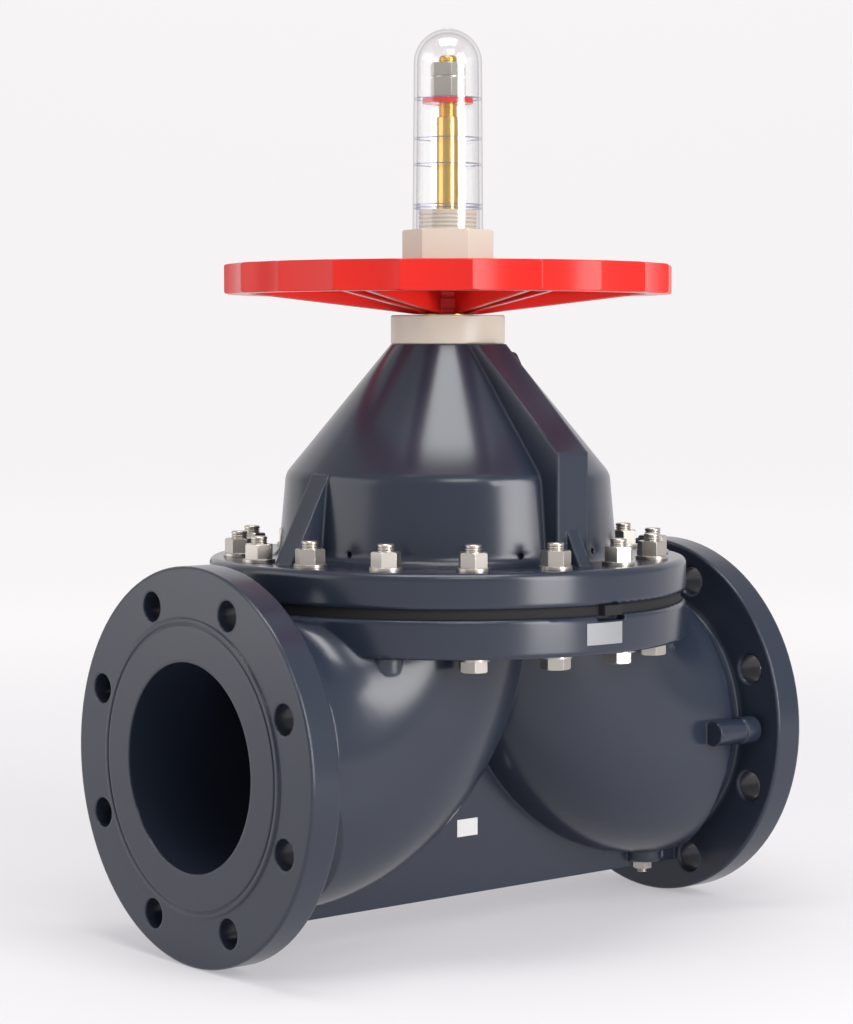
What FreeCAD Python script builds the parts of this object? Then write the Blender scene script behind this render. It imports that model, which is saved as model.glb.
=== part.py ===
import FreeCAD, Part
import math
import os

# Weir diaphragm valve, nominal bore 150, pipe flanges PN 10.
# All sizes in millimetres. X runs along the pipe, Z along the stem.
# The origin is on the floor below the stem; the valve stands on its two pipe flanges.

# Pipe flanges
face_to_face = 480.0
flange_r = 142.5
flange_t = 26.0
flange_edge = 2.0
gasket_face_r = 106.0
gasket_face_h = 1.5
gasket_groove_r = 101.0
gasket_groove_w = 2.0
gasket_groove_depth = 0.8
bore_r = 75.0
pipe_hole_count = 8
pipe_hole_r = 11.0
pipe_hole_circle_r = 120.0
pipe_hole_chamfer = 1.6
collar_r = 99.0
collar_root_r = 119.0
collar_length = 31.0
collar_fillet = 5.0

# Reach of cutters past the faces they cut
past = 1.0

# Clamped rims of body and bonnet
rim_r = 180.0
body_rim_t = 28.0
bonnet_rim_t = 25.5
rim_edge = 3.0
bonnet_rim_edge = 5.0
seat_rise = 107.0
diaphragm_t = 7.0
diaphragm_inset = 4.0

# Bonnet bolting
bolt_count = 16
bolt_edge_distance = 22.5
bolt_r = 6.0
bolt_hole_r = 7.0
bolt_thread_pitch = 1.75
bolt_thread_depth = 0.7
bolt_thread_length = 9.0
bolt_stand_out = 5.5
nut_flats = 19.0
nut_h = 11.0
head_h = 8.0
washer_r = 12.0
washer_t = 2.5
thread_gap = 0.05
stud_insert_r = 9.0
stud_insert_h = 30.0
stud_depth = 24.0
stud_boss_r = 16.0
stud_boss_shift = 2.5
stud_boss_depth = 13.5
stud_boss_edge = 3.0

# Ducts and the passages in them: bends from the collars up to the clamped rim
duct_half_h = 104.0
duct_half_w = 112.0
duct_outer_corner_r = 84.0
duct_inner_corner_r = 98.0
duct_bend_r = 106.0
duct_bend_angle = 86.0
passage_bend_r = 103.0
passage_bend_angle = 88.0

# Weir and the bowl above it
weir_crest_drop = 44.5
bowl_half_width = 105.0
bowl_inset = 68.0

# Web under the ducts and base bosses
web_half_t = 30.0
web_foot_z = 27.5
web_rise = 20.0
web_edge = 3.0
base_boss_x = 178.0
base_boss_r = 17.0
base_boss_foot_z = 31.5
base_boss_h = 30.0
base_insert_r = 8.0
base_insert_h = 20.0
base_stud_r = 4.0
base_stud_depth = 16.0
base_stud_out = 9.5
base_nut_flats = 13.0
base_nut_h = 6.5
base_nut_clear_r = 12.5

# Side boss on one duct
side_boss_r = 9.5
side_boss_step = 1.0
side_boss_start_x = 166.0
side_boss_step_x = 195.0
side_boss_end_gap = 5.0
side_boss_y = 118.5
side_boss_web_t = 12.0

# Notch in the body rim under the tab of the diaphragm
tab_w = 17.0
tab_stand_out = 2.0
tab_notch_w = 27.0
tab_notch_depth = 4.0
tab_notch_reach = 9.0

# Bonnet
drum_inset = 52.0
drum_draft = 5.7
drum_top_rise = 62.0
drum_fillet = 10.0
shoulder_round = 14.0
cone_foot_draft = 9.5
cone_foot_rise = 72.5
cone_top_r = 43.0
bonnet_top_rise = 159.0
bonnet_cavity_drum_rise = 88.0
bonnet_wall = 15.0
bonnet_roof_rise = 121.5
bonnet_shelf_rise = 134.0
cap_bore_r = 34.0
rib_half_w = 14.5
rib_stand_out = 11.0
rib_face_rise = 81.0
rib_top_r = 50.0
rib_edge = 2.0
gusset_half_w = 9.2
gusset_inset = 24.0
gusset_top_rise = 64.0
foot_gusset_half_w = 5.5
foot_gusset_inset = 27.0
foot_gusset_rise = 25.0
dimple_angle = 16.0
dimple_r = 2.2
dimple_rise = 7.5
dimple_depth = 5.0
guide_overlap = 5.0
guide_half_w = 6.0
guide_foot_gap = 26.0

# Sleeve, thrust rings and bearing cap
sleeve_r = 19.2
sleeve_flange_r = 31.0
sleeve_flange_t = 10.0
sleeve_foot_length = 12.0
sleeve_thread_length = 50.0
sleeve_clear_r = 14.6
running_gap = 0.06
free_gap = 0.4
thrust_ring_t = 4.0
thrust_ring_r = 31.0
cap_r = 43.0
cap_h = 21.7
cap_edge = 1.5
cap_spigot_gap = 0.05
o_ring_r = 2.0
cap_o_ring_rise = 11.0

# Stem
stem_r = 13.0
stem_top_r = 8.5
stem_tip_r = 7.0
stem_chamfer = 1.5
stem_thread_pitch = 4.0
stem_thread_depth = 1.0
tip_thread_pitch = 2.0
tip_thread_depth = 0.8
stem_shoulder_rise = 6.4
stem_rod_length = 78.0
stem_tip_length = 45.5
stop_nut_flats = 24.0
stop_nut_h = 15.0
lock_nut_h = 9.6
spring_washer_t = 1.4
spring_washer_r = 11.0
spring_washer_slot = 1.5
disc_rise = 10.0
disc_r = 19.0
disc_t = 4.2

# Travel of stem
stroke = 76.0

# Compressor and its pin
pad_r = 20.0
compressor_hub_r = 27.0
compressor_h = 54.0
compressor_half_w = 17.0
compressor_gap = 15.0
compressor_wing_t = 13.0
compressor_side_half_w = 7.0
compressor_side_drop_r = 150.0
diaphragm_pad_t = 10.0
stem_socket_depth = 27.0
stem_pin_r = 5.0
stem_pin_rise = 41.0
insert_disc_r = 17.0
insert_disc_t = 4.0
insert_cover = 3.0
insert_stud_r = 7.0
insert_stud_h = 18.0

# Diaphragm dome
dome_foot_inset = 2.0
dome_pad_r = 24.0
dome_bulge = 5.0

# Handwheel
wheel_ridge_r = 169.5
wheel_scallops = 21
wheel_scallop_r = 144.0
wheel_scallop_depth = 2.8
wheel_ridge_angle = -141.6
wheel_rim_rise = 14.8
wheel_rim_h = 22.0
wheel_rim_t = 20.5
wheel_rim_edge = 3.0
wheel_web_t = 5.0
wheel_web_rise = 3.0
wheel_hub_r = 24.6
wheel_hub_top_r = 36.0
wheel_hub_h = 38.5
wheel_hub_edge = 1.0
wheel_rib_count = 7
wheel_rib_t = 4.5
wheel_rib_shift = 2.8
wheel_rib_splay = 2.5
wheel_spoke_half_w = 12.0
wheel_window_inner_r = 52.0
wheel_window_margin = 9.0
wheel_rib_angle = -156.0
wheel_pad_w = 11.0
wheel_pad_h = 8.0
wheel_pad_t = 0.8
wheel_pad_rise = 4.0
wheel_pad_angle = -129.8
wheel_gap = 0.8
key_w = 6.0
key_h = 6.0
key_length = 28.0

# Wheel nut and washer
wheel_washer_r = 31.0
wheel_washer_t = 2.5
wheel_nut_corner_r = 34.4
wheel_nut_angle = 15.9
wheel_nut_h = 22.1
wheel_neck_r = 22.0
wheel_neck_h = 15.0
wheel_neck_pitch = 3.0
wheel_neck_thread_depth = 1.0
wheel_nut_thread_length = 16.0
wheel_nut_bore_r = 15.2
wheel_nut_edge = 1.0

# Gauge cover
cover_foot_r = 26.6
cover_r = 25.6
cover_headroom = 20.1
cover_wall = 2.6
cover_nub_r = 3.0
cover_nub_h = 0.8
cover_line_shares = (0.787, 0.548, 0.392, 0.148, 0.128)
cover_line_h = 0.9
cover_line_depth = 0.3

# Vent elbow
vent_z = 430.5
vent_r = 4.6
vent_bend_r = 65.0
vent_leg_angle = 31.0
vent_leg_length = 7.0
vent_tip_r = 3.4
vent_tip_length = 5.0
vent_thread_r = 4.0
vent_thread_depth = 8.0

# Bare labels
label_w = 33.0
label_h = 15.5
label_t = 0.3
label_rise = 7.5
label_angle = -92.0
sticker_w = 20.0
sticker_h = 13.0
sticker_t = 0.3
sticker_x = -6.0
sticker_z = 71.5

# Radii that follow from the clamped rims
diaphragm_r = rim_r - diaphragm_inset
bolt_circle_r = rim_r - bolt_edge_distance
stud_boss_circle_r = bolt_circle_r + stud_boss_shift
tab_reach = rim_r + tab_stand_out
tab_notch_inner_r = rim_r - tab_notch_reach
bowl_r = rim_r - bowl_inset
bonnet_cavity_r = bowl_r
dome_foot_r = bonnet_cavity_r - dome_foot_inset
drum_foot_r = rim_r - drum_inset
drum_top_r = drum_foot_r - drum_draft
cone_foot_r = drum_foot_r - cone_foot_draft
rib_face_r = drum_foot_r + rib_stand_out
gusset_foot_r = rim_r - gusset_inset
foot_gusset_r = rim_r - foot_gusset_inset
compressor_reach = bonnet_cavity_r - compressor_gap
guide_inner_r = compressor_reach - guide_overlap

# Radii that follow from the ridges of the handwheel
wheel_rim_inner_r = wheel_ridge_r - wheel_rim_t
wheel_window_outer_r = wheel_rim_inner_r - wheel_window_margin

# Levels that follow from the sizes above
axis_z = flange_r
half_length = face_to_face / 2.0
flange_back_x = half_length - flange_t
collar_x = flange_back_x - collar_length
seat_z = axis_z + seat_rise
body_rim_foot_z = seat_z - body_rim_t
bonnet_foot_z = seat_z + diaphragm_t
bonnet_rim_top_z = bonnet_foot_z + bonnet_rim_t
bonnet_top_z = bonnet_rim_top_z + bonnet_top_rise
bonnet_roof_z = bonnet_foot_z + bonnet_roof_rise
bonnet_shelf_z = bonnet_foot_z + bonnet_shelf_rise
cap_top_z = bonnet_top_z + cap_h
sleeve_flange_z = bonnet_shelf_z + thrust_ring_t
cap_spigot_z = sleeve_flange_z + sleeve_flange_t + thrust_ring_t
sleeve_foot_z = bonnet_shelf_z - sleeve_foot_length
wheel_hub_foot_z = cap_top_z + wheel_gap
wheel_rim_foot_z = wheel_hub_foot_z + wheel_rim_rise
wheel_hub_top_z = wheel_hub_foot_z + wheel_hub_h
wheel_nut_foot_z = wheel_hub_top_z + wheel_washer_t
wheel_nut_top_z = wheel_nut_foot_z + wheel_nut_h
wheel_neck_top_z = wheel_nut_top_z + wheel_neck_h
stem_shoulder_z = wheel_nut_top_z + stem_shoulder_rise
stem_tip_foot_z = stem_shoulder_z + stem_rod_length
stem_tip_top_z = stem_tip_foot_z + stem_tip_length
cover_top_z = stem_tip_top_z + cover_headroom
sleeve_top_z = wheel_nut_foot_z + wheel_nut_thread_length
crest_z = seat_z - weir_crest_drop
pad_foot_z = crest_z + stroke
compressor_foot_z = pad_foot_z + diaphragm_pad_t
compressor_top_z = compressor_foot_z + compressor_h
stem_foot_z = compressor_top_z - stem_socket_depth
stem_pin_z = compressor_foot_z + stem_pin_rise
bowl_cylinder_r = (bowl_half_width ** 2 + weir_crest_drop ** 2) / (2.0 * weir_crest_drop)
bowl_cylinder_z = crest_z + bowl_cylinder_r
disc_foot_z = stem_tip_foot_z + disc_rise
half_pitch_angle = 180.0 / bolt_count


def vec(x, y, z):
    return FreeCAD.Vector(x, y, z)


origin = vec(0, 0, 0)
axis_x = vec(1, 0, 0)
axis_y = vec(0, 1, 0)
axis_up = vec(0, 0, 1)


def outline(corners, place):
    """Closed wire through corners (u, v, radius); each corner is rounded by its radius."""
    points = [place(u, v) for u, v, _ in corners]
    radii = [r for _, _, r in corners]
    count = len(points)
    starts = []
    edges = []
    for i in range(count):
        here, before, after = points[i], points[i - 1], points[(i + 1) % count]
        to_before = (before - here).normalize()
        to_after = (after - here).normalize()
        if radii[i] <= 0:
            starts.append((here, here))
            continue
        angle = to_before.getAngle(to_after)
        reach = radii[i] / math.tan(angle / 2.0)
        first = here + to_before * reach
        last = here + to_after * reach
        bisector = (to_before + to_after).normalize()
        middle = here + bisector * (radii[i] / math.sin(angle / 2.0) - radii[i])
        edges.append(Part.Arc(first, middle, last).toShape())
        starts.append((first, last))
    for i in range(count):
        start, end = starts[i][1], starts[(i + 1) % count][0]
        if (end - start).Length > 1e-6:
            edges.append(Part.makeLine(start, end))
    return Part.Wire(Part.__sortEdges__(edges))


def spin(corners):
    """Solid of revolution about Z from corners (r, z, radius)."""
    face = Part.Face(outline(corners, lambda u, v: vec(u, 0, v)))
    return face.revolve(origin, axis_up, 360)


def spin_pipe(corners):
    """Solid of revolution about the pipe axis from corners (x, r, radius)."""
    face = Part.Face(outline(corners, lambda u, v: vec(u, 0, axis_z + v)))
    return face.revolve(vec(0, 0, axis_z), axis_x, 360)


def plain(pairs):
    return [(a, b, 0) for a, b in pairs]


def slab_y(corners, half_w):
    """Plate of outline (y, z) standing across X, centred on X = 0."""
    wire = outline(corners, lambda u, v: vec(-half_w, u, v))
    return Part.Face(wire).extrude(vec(2 * half_w, 0, 0))


def slab_x(corners, half_w):
    """Plate of outline (x, z) standing across Y, centred on Y = 0."""
    wire = outline(corners, lambda u, v: vec(u, -half_w, v))
    return Part.Face(wire).extrude(vec(0, 2 * half_w, 0))


def cylinder(r, foot_z, top_z, x=0.0, y=0.0):
    return Part.makeCylinder(r, top_z - foot_z, vec(x, y, foot_z))


def tube(outer_r, inner_r, foot_z, top_z, x=0.0, y=0.0):
    return cylinder(outer_r, foot_z, top_z, x, y).cut(cylinder(inner_r, foot_z, top_z, x, y))


def box(x0, x1, y0, y1, z0, z1):
    return Part.makeBox(x1 - x0, y1 - y0, z1 - z0, vec(x0, y0, z0))


def turned(shape, degrees):
    copy = shape.copy()
    copy.rotate(origin, axis_up, degrees)
    return copy


def moved(shape, x, y, z):
    copy = shape.copy()
    copy.translate(vec(x, y, z))
    return copy


def fuse_all(first, others):
    return first.multiFuse(others).removeSplitter() if others else first


def polar(radius, degrees):
    angle = math.radians(degrees)
    return radius * math.cos(angle), radius * math.sin(angle)


def hexagon(flats, foot_z, top_z, chamfer):
    """Hexagonal prism on the Z axis with chamfered corners on its top end."""
    corner_r = flats / math.sqrt(3.0)
    points = [vec(*polar(corner_r, 60.0 * i), foot_z) for i in range(6)]
    prism = Part.Face(Part.makePolygon(points + points[:1])).extrude(vec(0, 0, top_z - foot_z))
    side_r = corner_r - chamfer
    limit = spin(plain([(0, foot_z), (corner_r + chamfer, foot_z),
                        (corner_r + chamfer, top_z - 2 * chamfer), (side_r, top_z), (0, top_z)]))
    return prism.common(limit)


def threaded(r, foot_z, top_z, pitch, depth, chamfer):
    """Round rod with ring shaped thread crests and a chamfered top end."""
    profile = [(0, foot_z), (r, foot_z)]
    turns = int((top_z - foot_z - chamfer) / pitch)
    for i in range(turns):
        z = foot_z + i * pitch
        profile.append((r, z + 0.3 * pitch))
        profile.append((r - depth, z + 0.65 * pitch))
        profile.append((r, z + pitch))
    profile.append((r, top_z - chamfer))
    profile.append((r - chamfer, top_z))
    profile.append((0, top_z))
    cleaned = [profile[0]]
    for point in profile[1:]:
        if math.dist(point, cleaned[-1]) > 1e-4:
            cleaned.append(point)
    return spin(plain(cleaned))


def around(shape, angles, radius):
    """Copies of a shape standing on the Z axis, set out on a circle."""
    copies = []
    for degrees in angles:
        x, y = polar(radius, degrees)
        copies.append(moved(turned(shape, degrees), x, y, 0))
    return copies


def mirrored_x(shape):
    return shape.mirror(origin, axis_x)


def mirrored_y(shape):
    return shape.mirror(origin, axis_y)


def bolt_angles():
    return [half_pitch_angle * (2 * i + 1) for i in range(bolt_count)]


def stud_angles():
    """Places over the ducts, where no bolt head has room under the rim."""
    return [a for a in bolt_angles() if abs(math.cos(math.radians(a))) > math.cos(math.radians(45))]


def through_angles():
    return [a for a in bolt_angles() if a not in stud_angles()]


def bolt_holes(foot_z, top_z):
    return around(cylinder(bolt_hole_r, foot_z, top_z), bolt_angles(), bolt_circle_r)


def bend(section, bend_r, angle):
    """Solid that starts level at the collar with a closed wire and bends up towards the stem."""
    return Part.Face(section).revolve(vec(collar_x, 0, axis_z + bend_r), axis_y, angle)


def duct_section():
    """Outline (y, height over the pipe axis) of a duct: flat sides and round corners."""
    under, over = duct_outer_corner_r, duct_inner_corner_r
    return outline([(-duct_half_w, -duct_half_h, under), (duct_half_w, -duct_half_h, under),
                    (duct_half_w, duct_half_h, over), (-duct_half_w, duct_half_h, over)],
                   lambda u, v: vec(collar_x, u, axis_z + v))


def duct_outside():
    """Duct with its neck, which a cone trims down to the round collar."""
    neck = Part.Face(duct_section()).extrude(vec(collar_length, 0, 0))
    trim = Part.makeCone(collar_root_r, collar_r, collar_length, vec(collar_x, 0, axis_z), axis_x)
    return bend(duct_section(), duct_bend_r, duct_bend_angle).fuse(neck.common(trim))


def straight_bore():
    length = half_length - collar_x + past
    return Part.makeCylinder(bore_r, length, vec(collar_x, 0, axis_z), axis_x)


def passage_cuts():
    """Passage of one duct: below the rim it is a plain bend, above that it opens into the bowl."""
    ring = Part.Wire(Part.Circle(vec(collar_x, 0, axis_z), axis_x, bore_r).toShape())
    whole = bend(ring, passage_bend_r, passage_bend_angle)
    roof_z = axis_z + bore_r
    below = whole.common(box(-half_length, half_length, -rim_r, rim_r, 0.0, roof_z))
    above = whole.common(cylinder(bowl_r, roof_z, seat_z))
    return [below, above, straight_bore()]


def pipe_flange():
    """Flange and collar on the +X side, without holes."""
    face_x = half_length - gasket_face_h
    groove_foot = half_length - gasket_groove_depth
    return spin_pipe([
        (collar_x, 0, 0), (half_length, 0, 0),
        (half_length, gasket_groove_r, 0), (groove_foot, gasket_groove_r, 0),
        (groove_foot, gasket_groove_r + gasket_groove_w, 0),
        (half_length, gasket_groove_r + gasket_groove_w, 0),
        (half_length, gasket_face_r, 0), (face_x, gasket_face_r, 0),
        (face_x, flange_r, flange_edge), (flange_back_x, flange_r, flange_edge),
        (flange_back_x, collar_r, collar_fillet), (collar_x, collar_r, 0)])


def pipe_holes():
    """Bolt holes of the flange on the +X side, chamfered on the back."""
    cuts = []
    depth = flange_t + 2.0
    for i in range(pipe_hole_count):
        y, z = polar(pipe_hole_circle_r, (i + 0.5) * 360.0 / pipe_hole_count)
        foot = vec(flange_back_x - past, y, axis_z + z)
        cuts.append(Part.makeCylinder(pipe_hole_r, depth, foot, axis_x))
        cuts.append(Part.makeCone(pipe_hole_r + pipe_hole_chamfer + past, pipe_hole_r,
                                  pipe_hole_chamfer + past, foot, axis_x))
    return cuts


def bowl():
    """Bowl over the weir: a cylinder lying along the pipe, kept inside the clamped ring."""
    lying = Part.makeCylinder(bowl_cylinder_r, 2 * rim_r, vec(-rim_r, 0, bowl_cylinder_z), axis_x)
    return lying.common(cylinder(bowl_r, crest_z - past, seat_z + past))


def body_rim():
    return spin([(0, body_rim_foot_z, 0), (rim_r, body_rim_foot_z, rim_edge),
                 (rim_r, seat_z, rim_edge), (0, seat_z, 0)])


def web():
    return box(-flange_back_x, flange_back_x, -web_half_t, web_half_t, web_foot_z, axis_z + web_rise)


def base_places():
    return [(sx * base_boss_x, sy * web_half_t) for sx in (-1, 1) for sy in (-1, 1)]


def base_boss(x, y):
    boss = spin([(0, base_boss_foot_z, 0), (base_boss_r, base_boss_foot_z, web_edge),
                 (base_boss_r, base_boss_foot_z + base_boss_h, 0),
                 (0, base_boss_foot_z + base_boss_h, 0)])
    return moved(boss, x, y, 0)


def side_boss():
    """Stepped round boss along one duct, joined to the collar by a small web."""
    end_x = flange_back_x - side_boss_end_gap
    thick_r = side_boss_r + side_boss_step
    place = vec(side_boss_start_x, -side_boss_y, axis_z)
    long_part = Part.makeCylinder(side_boss_r, end_x - side_boss_start_x, place, axis_x)
    step_part = Part.makeCylinder(thick_r, end_x - side_boss_step_x,
                                  vec(side_boss_step_x, -side_boss_y, axis_z), axis_x)
    half_t = side_boss_web_t / 2.0
    joint = box(side_boss_start_x + side_boss_r, end_x, -side_boss_y, -bore_r - side_boss_r,
                axis_z - half_t, axis_z + half_t)
    return [long_part, step_part, joint]


def stud_boss():
    foot_z = body_rim_foot_z - stud_boss_depth
    boss = spin([(0, foot_z, 0), (stud_boss_r, foot_z, stud_boss_edge),
                 (stud_boss_r, body_rim_foot_z + rim_edge, 0), (0, body_rim_foot_z + rim_edge, 0)])
    return boss


def boss_angles():
    return [a for a in stud_angles() if abs(math.cos(math.radians(a))) < math.cos(math.radians(22.5))]


def tab_notch():
    half_w = tab_notch_w / 2.0
    return box(-half_w, half_w, -rim_r - past, -tab_notch_inner_r, seat_z - tab_notch_depth, seat_z + past)


def make_body():
    half = duct_outside().fuse(pipe_flange())
    solid = half.fuse(mirrored_x(half)).fuse(web()).fuse(body_rim())
    solid = solid.multiFuse([base_boss(x, y) for x, y in base_places()])
    solid = solid.multiFuse(around(stud_boss(), boss_angles(), stud_boss_circle_r))
    solid = fuse_all(solid, side_boss())
    for cutter in passage_cuts():
        solid = solid.cut(cutter).cut(mirrored_x(cutter))
    solid = solid.cut([bowl(), tab_notch()])
    solid = solid.cut(pipe_holes() + [mirrored_x(hole) for hole in pipe_holes()])
    through = cylinder(bolt_hole_r, body_rim_foot_z - past, seat_z + past)
    blind = cylinder(stud_insert_r, seat_z - stud_insert_h, seat_z + past)
    solid = solid.cut(around(through, through_angles(), bolt_circle_r)
                      + around(blind, stud_angles(), bolt_circle_r))
    top_z = base_boss_foot_z + base_insert_h
    wells = [cylinder(base_nut_clear_r, web_foot_z - past, base_boss_foot_z, x, y)
             for x, y in base_places()]
    return solid.cut(wells + [cylinder(base_insert_r, web_foot_z - past, top_z, x, y)
                              for x, y in base_places()])


def cone_wall_r(z):
    """Outer radius of the cone of the bonnet at a height."""
    foot_z = bonnet_foot_z + cone_foot_rise + bonnet_rim_t
    share = (z - foot_z) / (bonnet_top_z - foot_z)
    return cone_foot_r + share * (cone_top_r - cone_foot_r)


def bonnet_outside():
    drum_top_z = bonnet_rim_top_z + drum_top_rise
    return spin([(0, bonnet_foot_z, 0), (rim_r, bonnet_foot_z, rim_edge),
                 (rim_r, bonnet_rim_top_z, bonnet_rim_edge),
                 (drum_foot_r, bonnet_rim_top_z, drum_fillet),
                 (drum_top_r, drum_top_z, shoulder_round),
                 (cone_top_r, bonnet_top_z, 0), (0, bonnet_top_z, 0)])


def bonnet_inside():
    """Cavity for compressor and diaphragm, stem bore and seat of the bearing cap."""
    knee_z = bonnet_foot_z + bonnet_cavity_drum_rise
    roof_r = cone_wall_r(bonnet_roof_z) - bonnet_wall
    bore_r_here = sleeve_r + running_gap
    return spin(plain([
        (0, bonnet_foot_z - past), (bonnet_cavity_r, bonnet_foot_z - past), (bonnet_cavity_r, knee_z),
        (roof_r, bonnet_roof_z), (bore_r_here, bonnet_roof_z), (bore_r_here, bonnet_shelf_z),
        (cap_bore_r, bonnet_shelf_z), (cap_bore_r, bonnet_top_z + past), (0, bonnet_top_z + past)]))


def bonnet_rib():
    """Tall rib on the -Y side; its outer face is upright, its top follows the cone."""
    inner_r = bonnet_cavity_r
    foot_z = bonnet_rim_top_z - past
    face_z = bonnet_rim_top_z + rib_face_rise
    root_r = cone_top_r - rim_edge
    rib = slab_y([(-inner_r, foot_z, 0), (-rib_face_r, foot_z, 0), (-rib_face_r, face_z, rib_edge),
                  (-rib_top_r, bonnet_top_z, 0), (-root_r, bonnet_top_z, 0),
                  (-root_r, bonnet_roof_z, 0)], rib_half_w)
    foot = slab_y(plain([(-inner_r, foot_z), (-foot_gusset_r, foot_z),
                         (-foot_gusset_r, bonnet_rim_top_z),
                         (-rib_face_r, bonnet_rim_top_z + foot_gusset_rise),
                         (-inner_r, bonnet_rim_top_z + foot_gusset_rise)]), foot_gusset_half_w)
    return [rib, foot]


def bonnet_gusset():
    """Sloping gusset on the -X side."""
    foot_z = bonnet_rim_top_z - past
    top_z = bonnet_rim_top_z + gusset_top_rise
    return slab_x(plain([(-bonnet_cavity_r, foot_z), (-gusset_foot_r, foot_z),
                         (-gusset_foot_r, bonnet_rim_top_z), (-drum_top_r, top_z),
                         (-bonnet_cavity_r, top_z)]), gusset_half_w)


def dimples():
    cuts = []
    for side in range(4):
        for turn in (-dimple_angle, dimple_angle):
            hole = Part.makeCylinder(dimple_r, 2 * dimple_depth,
                                     vec(drum_foot_r - dimple_depth, 0, bonnet_rim_top_z + dimple_rise), axis_x)
            cuts.append(turned(hole, 90.0 * side + turn))
    return cuts


def guide_bars():
    """Two upright bars inside the bonnet that keep the compressor from turning."""
    outer_x = bonnet_cavity_r + rim_edge
    foot_z = bonnet_foot_z + guide_foot_gap
    knee_z = bonnet_foot_z + bonnet_cavity_drum_rise
    roof_r = cone_wall_r(bonnet_roof_z) - bonnet_wall
    bar = slab_x(plain([(guide_inner_r, foot_z), (outer_x, foot_z), (outer_x, knee_z),
                        (roof_r + rim_edge, bonnet_roof_z + past), (roof_r - rim_edge, bonnet_roof_z + past),
                        (guide_inner_r, knee_z)]), guide_half_w)
    return [bar, mirrored_x(bar)]


def make_bonnet():
    ribs = bonnet_rib()
    ribs += [mirrored_y(shape) for shape in ribs]
    gussets = [bonnet_gusset(), mirrored_x(bonnet_gusset())]
    solid = fuse_all(bonnet_outside(), ribs + gussets).cut(bonnet_inside())
    solid = fuse_all(solid, guide_bars())
    start_r = cone_wall_r(vent_z) - vent_thread_depth
    vent_seat = Part.makeCylinder(vent_thread_r, vent_bend_r, vec(start_r, 0, vent_z), axis_x)
    return solid.cut(bolt_holes(bonnet_foot_z - past, bonnet_rim_top_z + past) + dimples() + [vent_seat])


def dome_curve(lift):
    """Smooth curve from the clamped ring up to the flat pad of the diaphragm."""
    foot_z = seat_z + lift
    top_z = pad_foot_z + lift * diaphragm_pad_t / diaphragm_t
    middle_r = (dome_foot_r + dome_pad_r) / 2.0
    middle_z = (foot_z + top_z) / 2.0 + dome_bulge
    curve = Part.BSplineCurve()
    curve.interpolate([vec(dome_foot_r, 0, foot_z), vec(middle_r, 0, middle_z),
                       vec(dome_pad_r, 0, top_z)])
    return curve.toShape()


def make_diaphragm():
    under, over = dome_curve(0.0), dome_curve(diaphragm_t)
    pad_top_z = pad_foot_z + diaphragm_pad_t
    edges = [
        under, over,
        Part.makeLine(vec(dome_pad_r, 0, pad_foot_z), vec(0, 0, pad_foot_z)),
        Part.makeLine(vec(0, 0, pad_foot_z), vec(0, 0, pad_top_z)),
        Part.makeLine(vec(0, 0, pad_top_z), vec(dome_pad_r, 0, pad_top_z)),
        Part.makeLine(vec(dome_foot_r, 0, bonnet_foot_z), vec(diaphragm_r, 0, bonnet_foot_z)),
        Part.makeLine(vec(diaphragm_r, 0, bonnet_foot_z), vec(diaphragm_r, 0, seat_z)),
        Part.makeLine(vec(diaphragm_r, 0, seat_z), vec(dome_foot_r, 0, seat_z)),
    ]
    face = Part.Face(Part.Wire(Part.__sortEdges__(edges)))
    solid = face.revolve(origin, axis_up, 360)
    tab = box(-tab_w / 2.0, tab_w / 2.0, -tab_reach, -diaphragm_r + rim_edge, seat_z, bonnet_foot_z)
    disc_z = pad_foot_z + insert_cover
    pocket = [cylinder(insert_disc_r, disc_z, disc_z + insert_disc_t),
              cylinder(insert_stud_r, disc_z, pad_top_z + past)]
    return fuse_all(solid, [tab]).cut(bolt_holes(seat_z - past, bonnet_foot_z + past) + pocket)


def make_diaphragm_insert():
    disc_z = pad_foot_z + insert_cover
    disc = cylinder(insert_disc_r, disc_z, disc_z + insert_disc_t)
    stud = threaded(insert_stud_r, disc_z, compressor_foot_z + insert_stud_h,
                    tip_thread_pitch, tip_thread_depth, stem_chamfer)
    return disc.fuse(stud).removeSplitter()


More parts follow.
